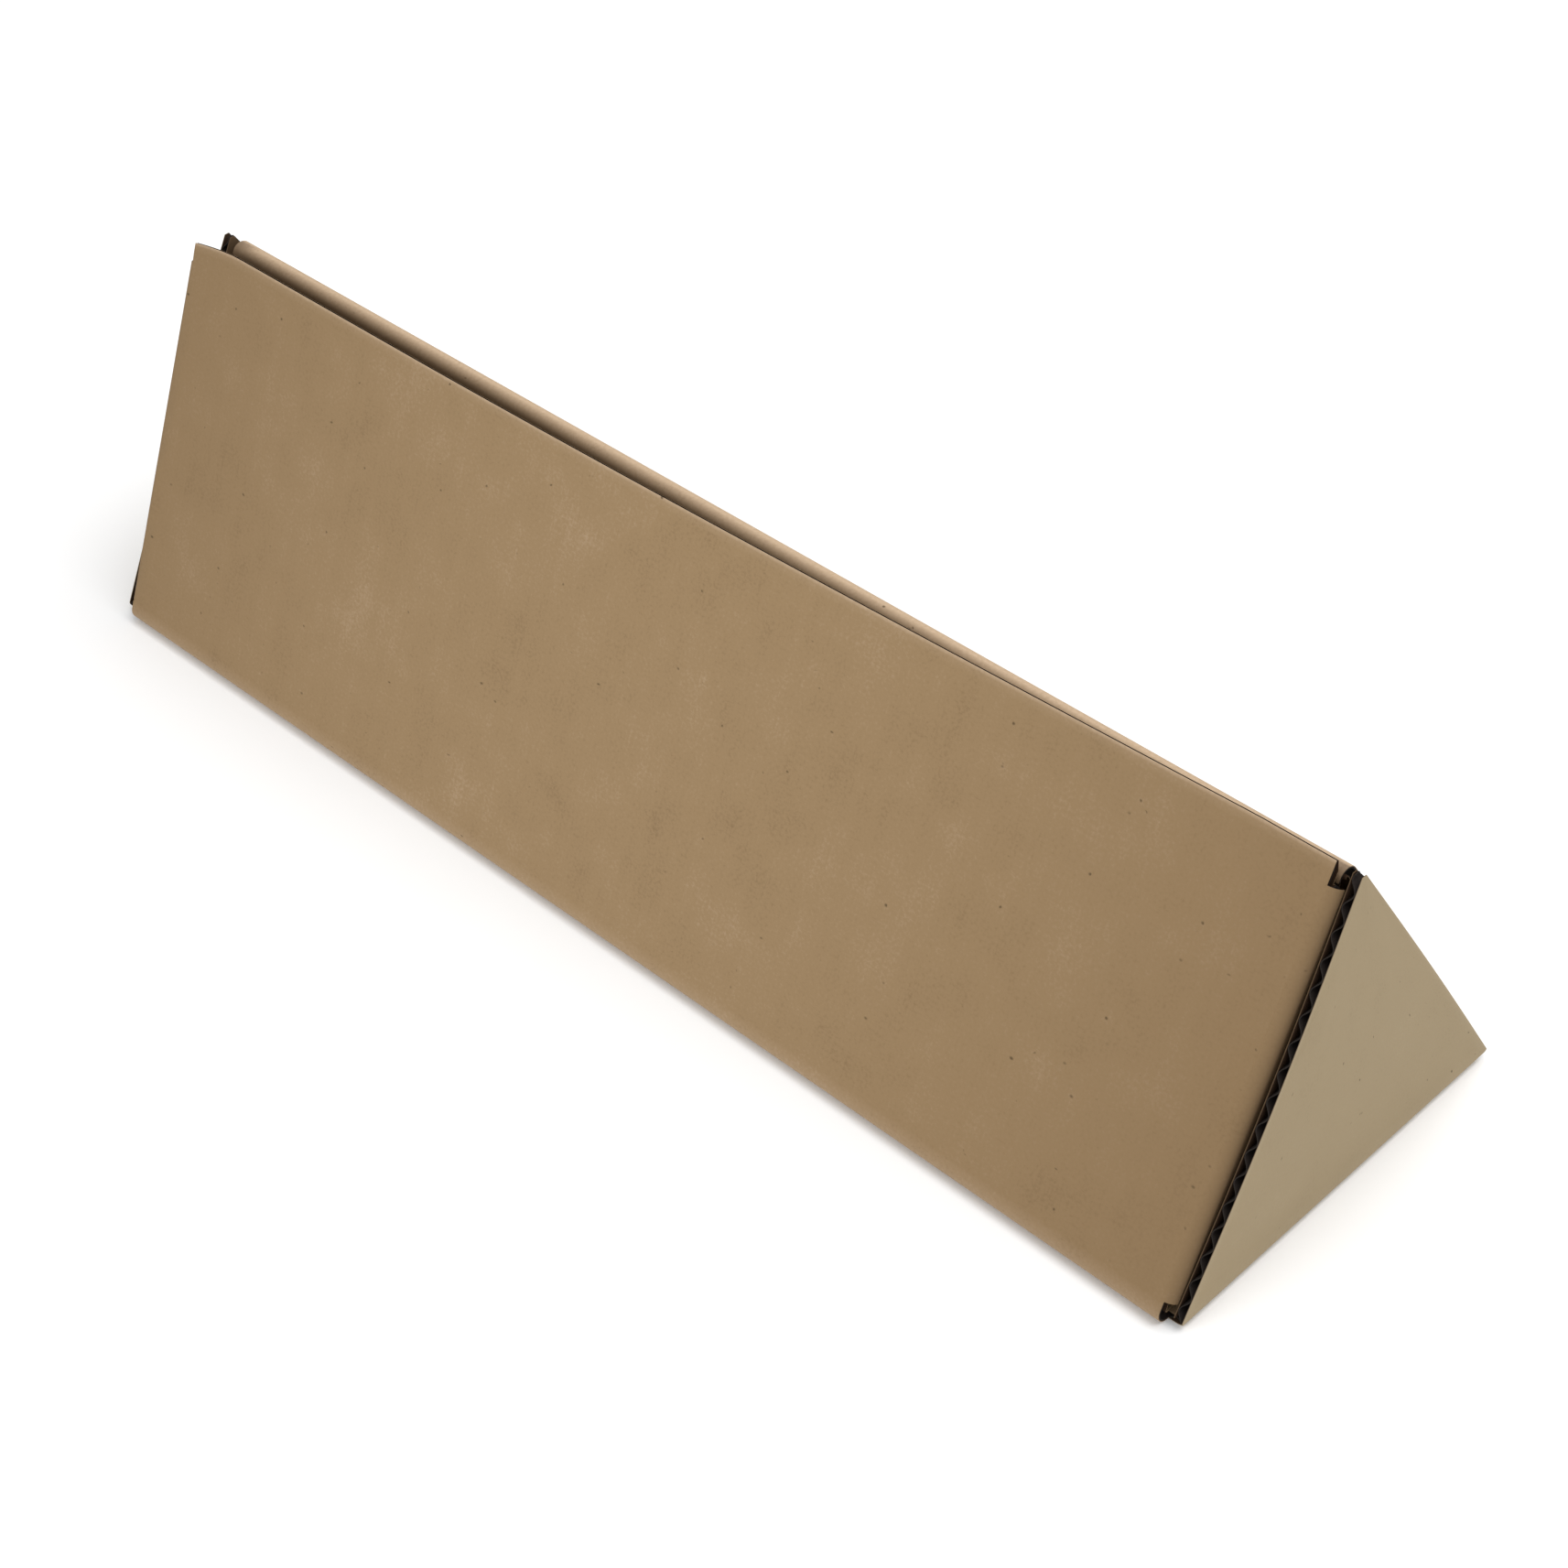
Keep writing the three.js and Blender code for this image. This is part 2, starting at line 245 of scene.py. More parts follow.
# %% Cut a closed sheet out of a grid
def grid_lines(breaks, step):
    lines = []
    for first, last in zip(breaks[:-1], breaks[1:]):
        count = max(1, int(math.ceil((last - first) / step - 1e-6)))
        lines += [first + (last - first) * i / count for i in range(count)]
    return np.array(lines + [breaks[-1]])


def cut_sheet(name, x_lines, s_lines, keep, front, back):
    """A closed flat mesh of the kept cells. Its points hold x, the distance s, and the depth in the board."""
    nx, ns = len(x_lines), len(s_lines)
    kept = keep((x_lines[:-1, None] + x_lines[1:, None]) / 2, (s_lines[None, :-1] + s_lines[None, 1:]) / 2)
    number = np.arange(nx * ns).reshape(nx, ns)
    i, j = np.nonzero(kept)
    a, b, c, d = number[i, j], number[i + 1, j], number[i + 1, j + 1], number[i, j + 1]
    layer = nx * ns
    faces = [np.stack([d, c, b, a], 1), np.stack([a, b, c, d], 1) + layer]
    padded = np.pad(kept, 1)
    for di, dj, first, second in ((-1, 0, a, d), (1, 0, c, b), (0, -1, b, a), (0, 1, d, c)):
        open_side = ~padded[i + 1 + di, j + 1 + dj]
        p, q = first[open_side], second[open_side]
        faces.append(np.stack([p + layer, q + layer, q, p], 1))
    x = np.repeat(x_lines, ns)
    s = np.tile(s_lines, nx)
    points = np.concatenate([np.stack([x, s, np.full(layer, depth)], 1) for depth in (front, back)])
    used, faces = np.unique(np.concatenate(faces), return_inverse=True)
    mesh = bpy.data.meshes.new(name)
    mesh.from_pydata(points[used].tolist(), [], faces.reshape(-1, 4).tolist())
    sheet = bpy.data.objects.new(name, mesh)
    bpy.context.scene.collection.objects.link(sheet)
    return sheet


print("a 20 mm run cut at 5 mm gets", len(grid_lines([0, 20], 5)), "grid lines")

# %% [markdown]
# Shader maths reads best as plain formulas. This small class wraps a socket, so that adding or multiplying two of
# them puts the right Math node in the material, and any other node comes from one method.

# %% Sockets as Python values
class Wire:
    def __init__(self, nodes, socket):
        self.nodes = nodes
        self.socket = socket

    def node(self, kind, settings=None, output=0, **inputs):
        """A node of any kind: its settings are set first, then its sockets get values or links."""
        made = self.nodes.new(kind)
        for key, value in (settings or {}).items():
            setattr(made, key, value)
        for key, value in inputs.items():
            index = int(key[1:]) if key[0] == "i" and key[1:].isdigit() else key.replace("_", " ")
            target = made.inputs[index]
            if isinstance(value, Wire):
                self.nodes.id_data.links.new(value.socket, target)
            else:
                target.default_value = value
        return Wire(self.nodes, made.outputs[output])

    def maths(self, operation, first, second=0.0):
        return self.node("ShaderNodeMath", {"operation": operation}, i0=first, i1=second)

    def __add__(self, other):
        return self.maths("ADD", self, other)

    __radd__ = __add__

    def __sub__(self, other):
        return self.maths("SUBTRACT", self, other)

    def __rsub__(self, other):
        return self.maths("SUBTRACT", other, self)

    def __mul__(self, other):
        return self.maths("MULTIPLY", self, other)

    __rmul__ = __mul__

    def __truediv__(self, other):
        return self.maths("DIVIDE", self, other)

    def at_most(self, limit):
        return self.maths("MINIMUM", self, limit)

    def ramp(self, low, high):
        """0 below low, 1 above high, and smooth between."""
        smooth = {"interpolation_type": "SMOOTHSTEP"}
        return self.node("ShaderNodeMapRange", smooth, Value=self, From_Min=low, From_Max=high)

    def wave(self, length):
        return self.maths("SINE", self * (2 * math.pi / length))

    def noise(self, scale, detail, roughness):
        """Noise read at this vector, from about 0 to 1."""
        return self.node("ShaderNodeTexNoise", Vector=self, Scale=scale, Detail=detail, Roughness=roughness)

    def cells(self, scale):
        """The distance from this vector to the nearest of many scattered points."""
        return self.node("ShaderNodeTexVoronoi", {"feature": "F1"}, Vector=self, Scale=scale)

    def stretched(self, x, y):
        return self.node("ShaderNodeVectorMath", {"operation": "MULTIPLY"}, i0=self, i1=(x, y, 1.0))


def mixed(amount, first, second):
    """The colour first where amount is 0, second where it is 1."""
    settings = {"data_type": "RGBA", "clamp_factor": True}
    return amount.node("ShaderNodeMix", settings, output=2, i0=amount, i6=first, i7=second)


print("operators ready:", [name for name in vars(Wire) if name.strip("_") in ("add", "sub", "mul", "truediv")])

# %% [markdown]
# Unbleached kraft board is a warm brown with a cloudy tone, fine fibres that lie along the paper machine's run,
# small dark specks of bark, and faint lines where the liner dips between the flutes. All of it is drawn on the
# sheet's own UV map, in metres on the flat blank, so it folds with the board. One attribute marks folds and cut
# edges, which are rubbed pale, and also paints a highlight on the ridge's top. Another paints shade on paper that
# hardly any
# light reaches: the liners' hidden sides, the crevice by the ridge, the tube's inside and the turned-in edges.

# %% Tones of kraft paper
# The deep brown that painted shade darkens paper toward
PAINTED_SHADE_COLOUR = (0.03, 0.012, 0.005, 1)
ROUGHNESS = 0.88
ROUGHNESS_SPREAD = 0.12
SHEEN = 0.22
BUMP_STRENGTH = 0.35
BUMP_HEIGHT = 0.00012
FLUTE_PITCH = 6.5
LINE_TONE = 0.03
LINE_BUMP = 0.3
# How far the noise has to go for its full dark or pale, how strong those are, how strong the painted shade
# at the wrap's ends is, how pale the wear and the ridge's painted highlight get, and how dark the painted shade is
FULL_TONE = 0.75
DARK_SHARE = 0.8
PALE_SHARE = 0.42
END_PAINTED_SHADE = 0.55
LOW_END_PAINTED_SHADE = 0.12
WEAR_AND_HIGHLIGHT_LEVEL = 0.88
WEAR_AND_HIGHLIGHT_GRAIN = 0.77
PAINTED_SHADE_SHARE = 0.95
# Specks of bark: how dense and how stretched, how large, in which rare patches, and how dark
BARK_SCALE = 210
BARK_STRETCH = 1.6
BARK_SIZE = (0.06, 0.2)
BARK_PATCHES = 300
BARK_RARITY = (0.69, 0.74)
BARK_SHARE = 0.75
BARK_TONE = 0.35
# Each layer of noise: stretch along and across the tube, scale, detail, roughness, share in the tone, in the bumps
LAYERS = {
    "clouds": (1, 1, 22, 3, 0.55, 0.9, 0.0),
    "mottle": (1, 1, 75, 2, 0.5, 0.75, 0.5),
    "grain": (1, 1, 950, 2, 0.6, 1.1, 0.5),
    "fibres": (420, 2600, 1, 2, 0.65, 0.35, 0.4),
    "long fibres": (1500, 210, 1, 2, 0.6, 0.3, 0.3),
    "streaks": (240, 14, 1, 3, 0.6, 0.2, 0.0),
}
print(len(LAYERS), "layers of noise, flutes every", FLUTE_PITCH, "mm")

# %% [markdown]
# Each paper is one function call with three colours: its plain tone, its dark and its pale. The noise layers choose
# between them. The wrap's outer paper also gets painted shade toward its ends, a little more at its right end.

# %% Kraft paper material
def kraft(name, colour, dark, pale, flute_lines, cloudiness, end_painted_shade):
    material = bpy.data.materials.new(name)
    material.use_nodes = True
    tree = material.node_tree
    shader = tree.nodes["Principled BSDF"]
    start = Wire(tree.nodes, None)
    sheet = start.node("ShaderNodeUVMap", {"uv_map": "sheet"})
    along = start.node("ShaderNodeSeparateXYZ", Vector=sheet)
    across = start.node("ShaderNodeSeparateXYZ", output=1, Vector=sheet)
    # Two attributes come in: rubbed wear with the ridge's painted highlight, and painted shade
    wear_and_highlight = start.node("ShaderNodeAttribute", {"attribute_name": "wear_and_highlight"}, output=2)
    painted_shade = start.node("ShaderNodeAttribute", {"attribute_name": "painted_shade"}, output=2)

    lines = along.wave(FLUTE_PITCH * MM) * flute_lines
    tone = lines * LINE_TONE
    height = lines * LINE_BUMP
    layers = {}
    for layer, (x, y, scale, detail, roughness, tone_share, bump_share) in LAYERS.items():
        noise = sheet.stretched(x, y).noise(scale, detail, roughness) - 0.5
        layers[layer] = noise
        tone = tone + noise * (tone_share * (cloudiness if layer == "clouds" else 1))
        height = height + noise * bump_share
    shade = mixed((0.0 - tone).ramp(0.0, FULL_TONE) * DARK_SHARE, colour, dark)
    shade = mixed(tone.ramp(0.0, FULL_TONE) * PALE_SHARE, shade, pale)

    reach = along / (END * MM)
    down = (across / (COVER_WIDTH * MM)).at_most(1.0)
    # Painted shade: the paper darkens toward the wrap's ends, a little more at the right end
    shade = mixed((reach * reach * END_PAINTED_SHADE + reach * down * LOW_END_PAINTED_SHADE) * end_painted_shade, shade, dark)
    # Rubbed wear, and the ridge's painted highlight, mix toward the pale
    shade = mixed(wear_and_highlight * (layers["grain"] * WEAR_AND_HIGHLIGHT_GRAIN + WEAR_AND_HIGHLIGHT_LEVEL), shade, pale)
    specks = 1 - sheet.stretched(1, BARK_STRETCH).cells(BARK_SCALE).ramp(*BARK_SIZE)
    patches = sheet.noise(BARK_PATCHES, 0, 0.5).ramp(*BARK_RARITY)
    bark = tuple(BARK_TONE * channel for channel in dark[:3]) + (1,)
    shade = mixed(specks * patches * BARK_SHARE, shade, bark)
    # Painted shade: paper that hardly any light reaches is darkened toward a deep brown
    shade = mixed(painted_shade * PAINTED_SHADE_SHARE, shade, PAINTED_SHADE_COLOUR)
    bumped = height.node("ShaderNodeBump", Strength=BUMP_STRENGTH, Distance=BUMP_HEIGHT, Height=height)
    roughness = layers["mottle"] * ROUGHNESS_SPREAD + ROUGHNESS
    for socket, value in (("Base Color", shade), ("Normal", bumped), ("Roughness", roughness)):
        tree.links.new(value.socket, shader.inputs[socket])
    shader.inputs["Specular IOR Level"].default_value = SHEEN
    return material


# Each paper: its plain, dark and pale colour, its flute lines, its cloudiness, and how much painted shade darkens its
# ends
PAPERS = {
    "kraft_outer": ((0.31, 0.208, 0.108, 1), (0.2, 0.127, 0.062, 1), (0.52, 0.385, 0.262, 1), 0.8, 1.0, 1.0),
    # The flap's colours are a paler, greyer copy of the outer kraft, though the flap is the same board: painted light
    # on the lit end
    "kraft_flap": ((0.336, 0.262, 0.16, 1), (0.265, 0.2, 0.118, 1), (0.4, 0.32, 0.21, 1), 0.25, 0.9, 0.0),
    "kraft_inner": ((0.32, 0.215, 0.113, 1), (0.24, 0.155, 0.076, 1), (0.4, 0.285, 0.165, 1), 1.0, 1.0, 0.0),
    # The fluting's near-black colour is partly its own darker paper and mostly painted shade for the hollows in the
    # cut edges
    "kraft_fluting_painted_shade": ((0.017, 0.012, 0.01, 1), (0.012, 0.009, 0.007, 1), (0.019, 0.015, 0.012, 1), 0.0, 1.0, 0.0),
}
outer_paper, flap_paper_painted_light, inner_paper, flute_paper_painted_shade = (kraft(name, *values) for name, values in PAPERS.items())
print("papers:", list(PAPERS))

# %% [markdown]
# The fluting repeats the same wave along the whole blank, so Geometry Nodes make it: the tree lifts each point of a
# flat sheet by a sine of its distance along the tube, and gives it its paper. Its pitch and height are named inputs.

# %% Fluting tree
def fluting_tree():
    tree = bpy.data.node_groups.new("fluting", "GeometryNodeTree")
    for label, kind in (
        ("Geometry", "NodeSocketGeometry"),
        ("Pitch", "NodeSocketFloat"),
        ("Height", "NodeSocketFloat"),
        ("Paper", "NodeSocketMaterial"),
    ):
        tree.interface.new_socket(label, in_out="INPUT", socket_type=kind)
    tree.interface.new_socket("Geometry", in_out="OUTPUT", socket_type="NodeSocketGeometry")
    add = tree.nodes.new
    link = tree.links.new
    given, result = add("NodeGroupInput"), add("NodeGroupOutput")
    place, split = add("GeometryNodeInputPosition"), add("ShaderNodeSeparateXYZ")
    turns, angle, sine, lift = (add("ShaderNodeMath") for _ in range(4))
    turns.operation, angle.operation, sine.operation, lift.operation = "DIVIDE", "MULTIPLY", "SINE", "MULTIPLY"
    angle.inputs[1].default_value = 2 * math.pi
    offset, move = add("ShaderNodeCombineXYZ"), add("GeometryNodeSetPosition")
    real, paper = add("GeometryNodeRealizeInstances"), add("GeometryNodeSetMaterial")
    link(place.outputs[0], split.inputs[0])
    link(split.outputs["X"], turns.inputs[0])
    link(given.outputs["Pitch"], turns.inputs[1])
    link(turns.outputs[0], angle.inputs[0])
    link(angle.outputs[0], sine.inputs[0])
    link(sine.outputs[0], lift.inputs[0])
    link(given.outputs["Height"], lift.inputs[1])
    link(lift.outputs[0], offset.inputs["Z"])
    link(given.outputs["Geometry"], move.inputs["Geometry"])
    link(offset.outputs[0], move.inputs["Offset"])
    link(move.outputs[0], real.inputs[0])
    link(real.outputs[0], paper.inputs["Geometry"])
    link(given.outputs["Paper"], paper.inputs["Material"])
    link(paper.outputs[0], result.inputs[0])
    return tree


FLUTING = fluting_tree()
print("fluting tree:", len(FLUTING.nodes), "nodes")

# %% [markdown]
# The tree is used through a modifier, whose inputs are set by their identifiers. The waved sheet is then turned into
# a plain mesh and the modifier is taken off, because the folding moves the points themselves.

# %% Wave a sheet
FLUTE_HEIGHT = BOARD / 2 - 1.6 * PAPER
STEPS_PER_FLUTE = 10


def flute(sheet):
    """Waves a flat sheet between the two liners, and makes the result a plain mesh."""
    modifier = sheet.modifiers.new("fluting", "NODES")
    modifier.node_group = FLUTING
    values = {"Pitch": FLUTE_PITCH, "Height": FLUTE_HEIGHT, "Paper": flute_paper_painted_shade}
    for item in FLUTING.interface.items_tree:
        if item.in_out == "INPUT" and item.name in values:
            modifier[item.identifier] = values[item.name]
    bpy.context.view_layer.update()
    shaped = sheet.evaluated_get(bpy.context.evaluated_depsgraph_get())
    mesh = bpy.data.meshes.new_from_object(shaped)
    sheet.modifiers.remove(modifier)
    sheet.data = mesh


print("flutes are", round(2 * FLUTE_HEIGHT, 2), "mm high")

# %% [markdown]
# Folding is the last step: every point of the flat sheet is read as its place on the blank and its depth in the
# board, and a fold function gives its place on the tube. The flat place is kept as the UV map before it moves.

# %% Fold a flat sheet
SLIVER = 0.01
SHARP_EDGE = math.radians(40)


def painted_shade_of(x, s, depth, painted_shade_at):
    """Full painted shade on the liners' sides that face the fluting, and the piece's own painted shade elsewhere."""
    between = (depth > PAPER - SLIVER) & (depth < BOARD - PAPER + SLIVER)
    return np.where(between, 1.0, painted_shade_at(x, s, depth))


def fold_sheet(sheet, fold, wear_and_highlight_at, painted_shade_at, paper, span):
    mesh = sheet.data
    flat = np.empty(len(mesh.vertices) * 3)
    mesh.vertices.foreach_get("co", flat)
    x, s, depth = flat.reshape(-1, 3).T.copy()
    corners = np.empty(len(mesh.loops), dtype=np.int32)
    mesh.loops.foreach_get("vertex_index", corners)
    layer = mesh.uv_layers.new(name="sheet")
    layer.data.foreach_set("uv", (np.stack([x, s * span], 1)[corners] * MM).ravel())
    # The fluting's colour already holds its painted shade, so it gets no more
    painted_shade = np.zeros_like(depth) if paper is flute_paper_painted_shade else painted_shade_of(x, s, depth, painted_shade_at)
    for name, values in (("wear_and_highlight", wear_and_highlight_at(x, s)), ("painted_shade", painted_shade)):
        attribute = mesh.attributes.new(name, "FLOAT", "POINT")
        attribute.data.foreach_set("value", values.astype(np.float32))
    placed = np.stack(fold(x, s, depth), 1) * MM
    mesh.vertices.foreach_set("co", placed.ravel())
    mesh.materials.clear()
    mesh.materials.append(paper)
    mesh.polygons.foreach_set("material_index", [0] * len(mesh.polygons))
    mesh.update()
    mesh.shade_smooth()
    mesh.set_sharp_from_angle(angle=SHARP_EDGE)


print("edges sharper than", round(math.degrees(SHARP_EDGE)), "degrees stay sharp")

# %% [markdown]
# A board is three such sheets on top of each other. The liners need points only where they bend, and the fluting
# needs ten for each of its waves.

# %% Build a board
LINER_STEP = 5.0
ACROSS_STEP = 9.0


def board(name, x_breaks, s_breaks, keep, fold, wear_and_highlight_at, painted_shade_at, faces, span):
    """The three sheets of one blank, folded, from the outside in. One unit of s is span mm of paper."""
    core = (BOARD - PAPER) / 2
    across = grid_lines(s_breaks, ACROSS_STEP)
    sheets = []
    for part, front, step, s_lines, paper in (
        ("outer_liner", 0.0, LINER_STEP, across, faces[0]),
        ("fluting", core, FLUTE_PITCH / STEPS_PER_FLUTE, np.array(s_breaks), flute_paper_painted_shade),
        ("inner_liner", BOARD - PAPER, LINER_STEP, across, faces[1]),
    ):
        x_lines = grid_lines(x_breaks, step)
        sheet = cut_sheet(f"{name}_{part}", x_lines, s_lines, keep, front, front + PAPER)
        if paper is flute_paper_painted_shade:
            flute(sheet)
        fold_sheet(sheet, fold, wear_and_highlight_at, painted_shade_at, paper, span)
        sheets.append(sheet)
        print(sheet.name, len(sheet.data.polygons), "faces")
    return sheets


print("liners get a line every", LINER_STEP, "mm along the tube and every", ACROSS_STEP, "mm across it")

# %% [markdown]
# The wrap is the tube's three sides, the ridge and the inner lap. The cover panel carries a dust flap on each end,
# which bends in across the end, so the cover runs a little past the other panels. The inner lap stops short of them.

# %% Outline of the wrap
DUST_OUTSIDE = END - BOARD - GAP
DUST_LOW = 9.0
DUST_HIGH = 124.4
DUST_DEPTH = 34.0
DUST_SLOPE = 24.0
BEND_START = DUST_OUTSIDE - OUTER_RADIUS
BEND_LENGTH = OUTER_RADIUS * math.pi / 2
BEND_END = BEND_START + BEND_LENGTH
DUST_TIP = BEND_END + DUST_DEPTH - OUTER_RADIUS
DUST_TOP_S = COVER_WIDTH - DUST_HIGH
DUST_BOTTOM_S = COVER_WIDTH - DUST_LOW
LAP_END = DUST_OUTSIDE - BOARD - GAP
RIGHT_COVER_END = END - 6.4
LEFT_COVER_END = DUST_OUTSIDE - 2.6


def wrap_keeps(x, s):
    cover = s < STOPS[NEAR_FOLD]
    dust = (s > DUST_TOP_S) & (s < DUST_BOTTOM_S)
    limit = np.full(np.broadcast(x, s).shape, PANEL_END)
    limit = np.where(cover & dust, DUST_TIP, limit)
    limit = np.where(s <= DUST_TOP_S, np.where(x < 0, LEFT_COVER_END, RIGHT_COVER_END), limit)
    limit = np.where(s > STOPS[LAP], LAP_END, limit)
    return np.abs(x) < limit


print("the blank is", round(2 * DUST_TIP, 1), "mm over its dust flaps and", round(STOPS[-1], 1), "mm across")

# %% [markdown]
# Handling has crushed the cover's cut top edge thin, and its left corner droops a little. The dust flaps turn in by
# a quarter circle, and narrow toward their tips so that they slip inside.

# %% Fold the wrap
CRUSHED_SHARE = 0.3
CRUSH_REACH = 3.0
CORNER_DROOP = 3.6
CORNER_REACH = 26.0
CORNER_CURVE = 1.5
DROOP_DEPTH = 30.0
TOUCH = 1e-6


def wrap_fold(x, s, depth):
    depth = depth * (CRUSHED_SHARE + (1 - CRUSHED_SHARE) * np.clip(s / CRUSH_REACH, 0, 1))
    corner = np.clip((CORNER_REACH - END - x) / CORNER_REACH, 0, 1) ** CORNER_CURVE
    s = s + CORNER_DROOP * corner * np.clip(1 - s / DROOP_DEPTH, 0, 1)
    past = np.abs(x) - BEND_START
    use = (past > TOUCH) & (s > DUST_TOP_S - TOUCH) & (s < DUST_BOTTOM_S + TOUCH)
    angle = np.clip(past / OUTER_RADIUS, 0, math.pi / 2)
    beyond = np.clip(past - BEND_LENGTH, 0, None)
    turned_x = BEND_START + (OUTER_RADIUS - depth) * np.sin(angle)
    turned_depth = OUTER_RADIUS - (OUTER_RADIUS - depth) * np.cos(angle) + beyond
    middle = (DUST_TOP_S + DUST_BOTTOM_S) / 2
    half = (DUST_BOTTOM_S - DUST_TOP_S) / 2
    narrow = 1 - DUST_SLOPE / half * beyond / (DUST_TIP - BEND_END)
    new_x = np.where(use, np.sign(x) * turned_x, x)
    new_s = np.where(use, middle + (s - middle) * narrow, s)
    new_depth = np.where(use, turned_depth, depth - bow(new_x, new_s))
    y, z = section_point(new_s, new_depth)
    y, z = open_cover(new_x, y, z, new_s)
    return new_x, y, z


middle_top = wrap_fold(np.zeros(1), np.zeros(1), np.zeros(1))
print("the cover's edge is at", [round(float(value[0]), 1) for value in middle_top], "mm in the tube's middle")

# %% [markdown]
# Folds and the cut top edge are rubbed pale. The ridge is palest on its top, where the rub has a painted highlight
# on it. The ridge's near side, its ends and the inner lap get painted shade, as hardly any light reaches them, and
# so, a little, do the edges where the dust flaps turn in.

# %% Wear, painted highlight and painted shade of the wrap
RIDGE_TOP_SHARE = 0.36
# Painted shade: where it is full on the ridge, and how dark it is in the crevice, at the ridge's ends, in the
# turned-in dust flaps and on the lap
CREVICE_SHARE = 0.9
CREVICE_PAINTED_SHADE = 0.7
ABOVE_TOP_SHARE = 0.1
NEAR_END_PAINTED_SHADE = 0.6
NEAR_END_REACH = 9.0
NEAR_END_FADE = 6.0
TURNED_PAINTED_SHADE = 0.45
LAP_PAINTED_SHADE = 0.8
# Rubbed wear on the folds and the cut edge; on the ridge the pale band also holds a painted highlight
RUB_AND_HIGHLIGHT_REACH = 0.75 * FOLD_LENGTH
FOLD_WEAR = 0.5
EDGE_REACH = 1.2
EDGE_WEAR = 0.8


def wrap_wear_and_highlight(x, s):
    wear_and_highlight = np.clip(1 - s / EDGE_REACH, 0, 1) * EDGE_WEAR
    for index in FOLDS:
        # The ridge's pale band is partly rubbed wear and partly a painted highlight, strongest on its top, which
        # faces the light
        share, strength = (RIDGE_TOP_SHARE, 1.0) if index == RIDGE else (0.5, FOLD_WEAR)
        middle = STOPS[index] + RUNS[index] * share
        wear_and_highlight = np.maximum(wear_and_highlight, strength * np.clip(1 - np.abs(s - middle) / RUB_AND_HIGHLIGHT_REACH, 0, 1))
    return wear_and_highlight


def wrap_painted_shade(x, s, depth):
    """Painted shade down the ridge's near side, near the ridge's ends and over the inner lap, and a little where the
    dust flaps turn in.
    """
    past_top = (s - STOPS[RIDGE]) / RUNS[RIDGE] - RIDGE_TOP_SHARE
    crevice = CREVICE_PAINTED_SHADE * np.clip(past_top / (CREVICE_SHARE - RIDGE_TOP_SHARE), 0, 1)
    near_end = NEAR_END_PAINTED_SHADE * np.clip((np.abs(x) - PANEL_END + NEAR_END_REACH) / NEAR_END_FADE, 0, 1)
    turned = TURNED_PAINTED_SHADE * np.clip((np.abs(x) - BEND_START) / BEND_LENGTH, 0, 1)
    painted_shade = np.maximum(crevice, np.where(past_top > -ABOVE_TOP_SHARE, near_end, 0))
    painted_shade = np.maximum(painted_shade, np.where((depth > BOARD - SLIVER) & (s > STOPS[RIDGE]), LAP_PAINTED_SHADE, 0))
    return np.maximum(painted_shade, np.where(s < STOPS[NEAR_FOLD], turned, 0))


print("gloom starts", round(STOPS[RIDGE] + RIDGE_TOP_SHARE * RUNS[RIDGE], 1), "mm from the cover's cut edge")

# %% [markdown]
# The grid's lines fall at each fold, each cut and each bend, eight steps to a fold, so that the outline is sharp and
# the folds are round.

# %% Wrap
STEPS_PER_FOLD = 8
EDGE_ROWS = [0.0, 1.0, 3.0, DUST_TOP_S - 0.25, DUST_TOP_S, DUST_BOTTOM_S, DUST_BOTTOM_S + 0.25]
INNER_COLUMN = 205.0

run_rows = [STOPS[i] + RUNS[i] * k / STEPS_PER_FOLD for i in range(len(RUNS)) for k in range(STEPS_PER_FOLD + 1)]
wrap_s = sorted({round(value, 4) for value in run_rows + EDGE_ROWS})
bend_columns = [BEND_START + BEND_LENGTH * k / STEPS_PER_FOLD for k in range(STEPS_PER_FOLD + 1)]
columns = {LAP_END, PANEL_END, RIGHT_COVER_END, LEFT_COVER_END, DUST_TIP, INNER_COLUMN, *bend_columns}
wrap_x = sorted({-value for value in columns} | columns)

wrap_papers = (outer_paper, inner_paper)
for sheet in board("wrap", wrap_x, wrap_s, wrap_keeps, wrap_fold, wrap_wear_and_highlight, wrap_painted_shade, wrap_papers, 1.0):
    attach(sheet, "wrap")
    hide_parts("tube_wrap")

# %% [markdown]
# Each end flap is a triangle that hinges on the base. Its board runs on round the crease into the base. Pressed
# board bulges a little between its edges, so the flap isn't a flat plate.

# %% Shape of an end flap
FLAP_TOP = flap_high.z
FLAP_NEAR_INSET = 3.2
FLAP_FAR_INSET = 1.2
HINGE_NEAR = -60.5
HINGE_FAR = 62.0
CREASE = math.pi / 2 * BOARD
CREASE_START = END - BOARD
INNER_CREASE = 0.03
FLAP_LENGTH = FLAP_TOP - BOARD
FLAP_TIP = CREASE_START + CREASE + FLAP_LENGTH
FLAP_BOW = 1.2
CROWN_SHARE = 0.25
CROWN_LEVEL = 0.6
SIN60 = SQRT3 / 2


def near_edge(z):
    return -SIDE / 2 + z / SQRT3 + FLAP_NEAR_INSET / SIN60


def far_edge(z):
    return np.minimum(SIDE / 2 - z / SQRT3 - FLAP_FAR_INSET / SIN60, wrap_high.y)


